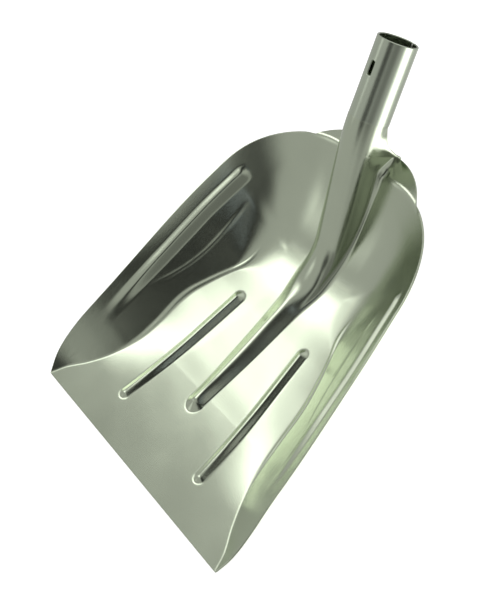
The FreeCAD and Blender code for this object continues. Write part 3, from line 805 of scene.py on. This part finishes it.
def studio_sky():
    """What the metal reflects: a dim room with soft bright and dark patches."""
    world = bpy.data.worlds.new("studio")
    bpy.context.scene.world = world
    world.use_nodes = True
    tree = world.node_tree
    direction = node(tree, "ShaderNodeTexCoord").outputs["Generated"]
    room = node(tree, "ShaderNodeRGB")
    room.outputs[0].default_value = (0.49, 0.49, 0.49, 1.0)
    shade = room.outputs[0]
    # each patch: direction of its middle, reach each way, share of the reach that is even, brightness
    patches = (
        # pale floor, and the scoop's own shadow on it
        ((0.0, 0.0, -1.0), (1.1, 1.1, 0.8), 0.3, 0.85),
        ((0.0, 0.1, -1.0), (0.6, 0.6, 0.5), 0.1, 0.25),
        # dark end of the room behind
        ((0.0, 1.0, -0.08), (0.75, 0.4, 0.26), 0.3, 0.12),
        ((-0.75, 0.68, -0.08), (0.5, 0.4, 0.24), 0.3, 0.12),
        # dim right side, and a bright wall high up behind
        ((0.80, -0.35, 0.45), (0.62, 0.50, 0.62), 0.35, 0.2),
        ((-0.1, 0.75, 0.6), (0.9, 0.5, 0.8), 0.2, 0.8),
        # dark ceiling
        ((0.34, -0.70, 0.62), (0.36, 0.18, 0.36), 0.4, 0.08),
        ((0.23, -0.50, 0.83), (0.20, 0.22, 0.30), 0.4, 0.08),
        ((0.24, -0.27, 0.92), (0.29, 0.25, 0.35), 0.45, 0.04),
        ((0.08, -0.02, 1.0), (0.29, 0.26, 0.3), 0.5, 0.03),
        # long soft box on the left, its two ends, and a small one in front
        ((-0.66, -0.13, 0.75), (0.50, 0.19, 0.7), 0.1, 2.6),
        ((-0.46, -0.13, 0.87), (0.20, 0.15, 0.3), 0.2, 2.0),
        ((-0.86, -0.14, 0.48), (0.20, 0.13, 0.32), 0.1, 1.3),
        ((-0.60, -0.56, 0.57), (0.16, 0.2, 0.2), 0.2, 1.0),
        # lit floor, low on the right
        ((0.82, 0.30, -0.50), (0.45, 0.6, 0.6), 0.4, 2.6),
    )
    for centre, reach, core, brightness in patches:
        mix = node(tree, "ShaderNodeMixRGB", Color2=(brightness, brightness, brightness, 1.0))
        tree.links.new(soft_patch(tree, direction, centre, reach, core), mix.inputs["Fac"])
        tree.links.new(shade, mix.inputs["Color1"])
        shade = mix.outputs["Color"]
    tree.links.new(shade, tree.nodes["Background"].inputs["Color"])
    tree.nodes["Background"].inputs["Strength"].default_value = 1.0


def overhead_lamp():
    """A small cool lamp above the front of the scoop, seen only in the metal."""
    half_x, half_y = 0.06, 0.045
    corners = [(-half_x, -half_y, 0), (-half_x, half_y, 0), (half_x, half_y, 0), (half_x, -half_y, 0)]
    lamp = plain_mesh("overhead_lamp", corners, [(0, 1, 2, 3)])
    lamp.location = (0.25, -0.285, 1.0)
    material = bpy.data.materials.new("lamp_glow")
    material.use_nodes = True
    tree = material.node_tree
    tree.nodes.clear()
    out = node(tree, "ShaderNodeOutputMaterial")
    glow = node(tree, "ShaderNodeEmission", Strength=0.45, Color=(0.78, 0.84, 1.0, 1.0))
    tree.links.new(glow.outputs["Emission"], out.inputs["Surface"])
    lamp.data.materials.append(material)
    for ray in ("visible_camera", "visible_diffuse", "visible_shadow"):
        setattr(lamp, ray, False)


def studio():
    """Pale floor and walls, the sky that the metal reflects, and the lamp."""
    reach, height = 9.0, 7.0
    plan = [(-reach, -reach), (reach, -reach), (reach, reach), (-reach, reach)]
    low, high = ([(x, y, z) for x, y in plan] for z in (0.0, height))
    backdrop("studio_floor", low, [(0, 1, 2, 3)])
    sides = [(i, (i + 1) % 4, (i + 1) % 4 + 4, i + 4) for i in range(4)]
    walls = backdrop("studio_walls", low + high, sides)
    walls.visible_diffuse = False
    walls.visible_shadow = False
    studio_sky()
    overhead_lamp()


def camera():
    """A long lens above and to the right, looking down across the scoop."""
    data = bpy.data.cameras.new("camera")
    data.lens = 84.0
    data.sensor_width = 36.0
    view = bpy.data.objects.new("camera", data)
    right = Vector((0.53046, 0.72087, -0.44604))
    up = Vector((-0.48774, 0.68990, 0.53493))
    back = Vector((0.69334, -0.06621, 0.71756))
    place = Vector((0.96407, -0.13009, 1.05316))
    rows = [(*axes, offset) for *axes, offset in zip(right, up, back, place)]
    view.matrix_world = Matrix((*rows, (0.0, 0.0, 0.0, 1.0)))
    bpy.context.scene.collection.objects.link(view)
    bpy.context.scene.camera = view


# the grey of the blade and socket is the metal's own; their green cast is a painted reflection of green
# surroundings
SHEET = bare_metal("blade_sheet", (0.60, 0.665, 0.515), 0.125, 900.0, 0.05)
TUBE = bare_metal("socket_tube", (0.60, 0.665, 0.53), 0.14, 900.0, 0.05)
WELD = bare_metal("weld_bead", (0.66, 0.67, 0.63), 0.38, 1400.0, 0.08, dull=0.1)

for piece, cad_node, slot, finish in (
    (pressed_blade(), "scoop_blade", "blade_sheet", SHEET),
    (rolled_socket(), "handle_socket", "socket_tube", TUBE),
    (seam_weld(), "socket_seam_weld", "weld_bead", WELD),
):
    piece.data.materials.append(finish)
    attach(piece, "root")
    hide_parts(cad_node)

studio()
camera()
bpy.context.scene.view_settings.view_transform = "Standard"
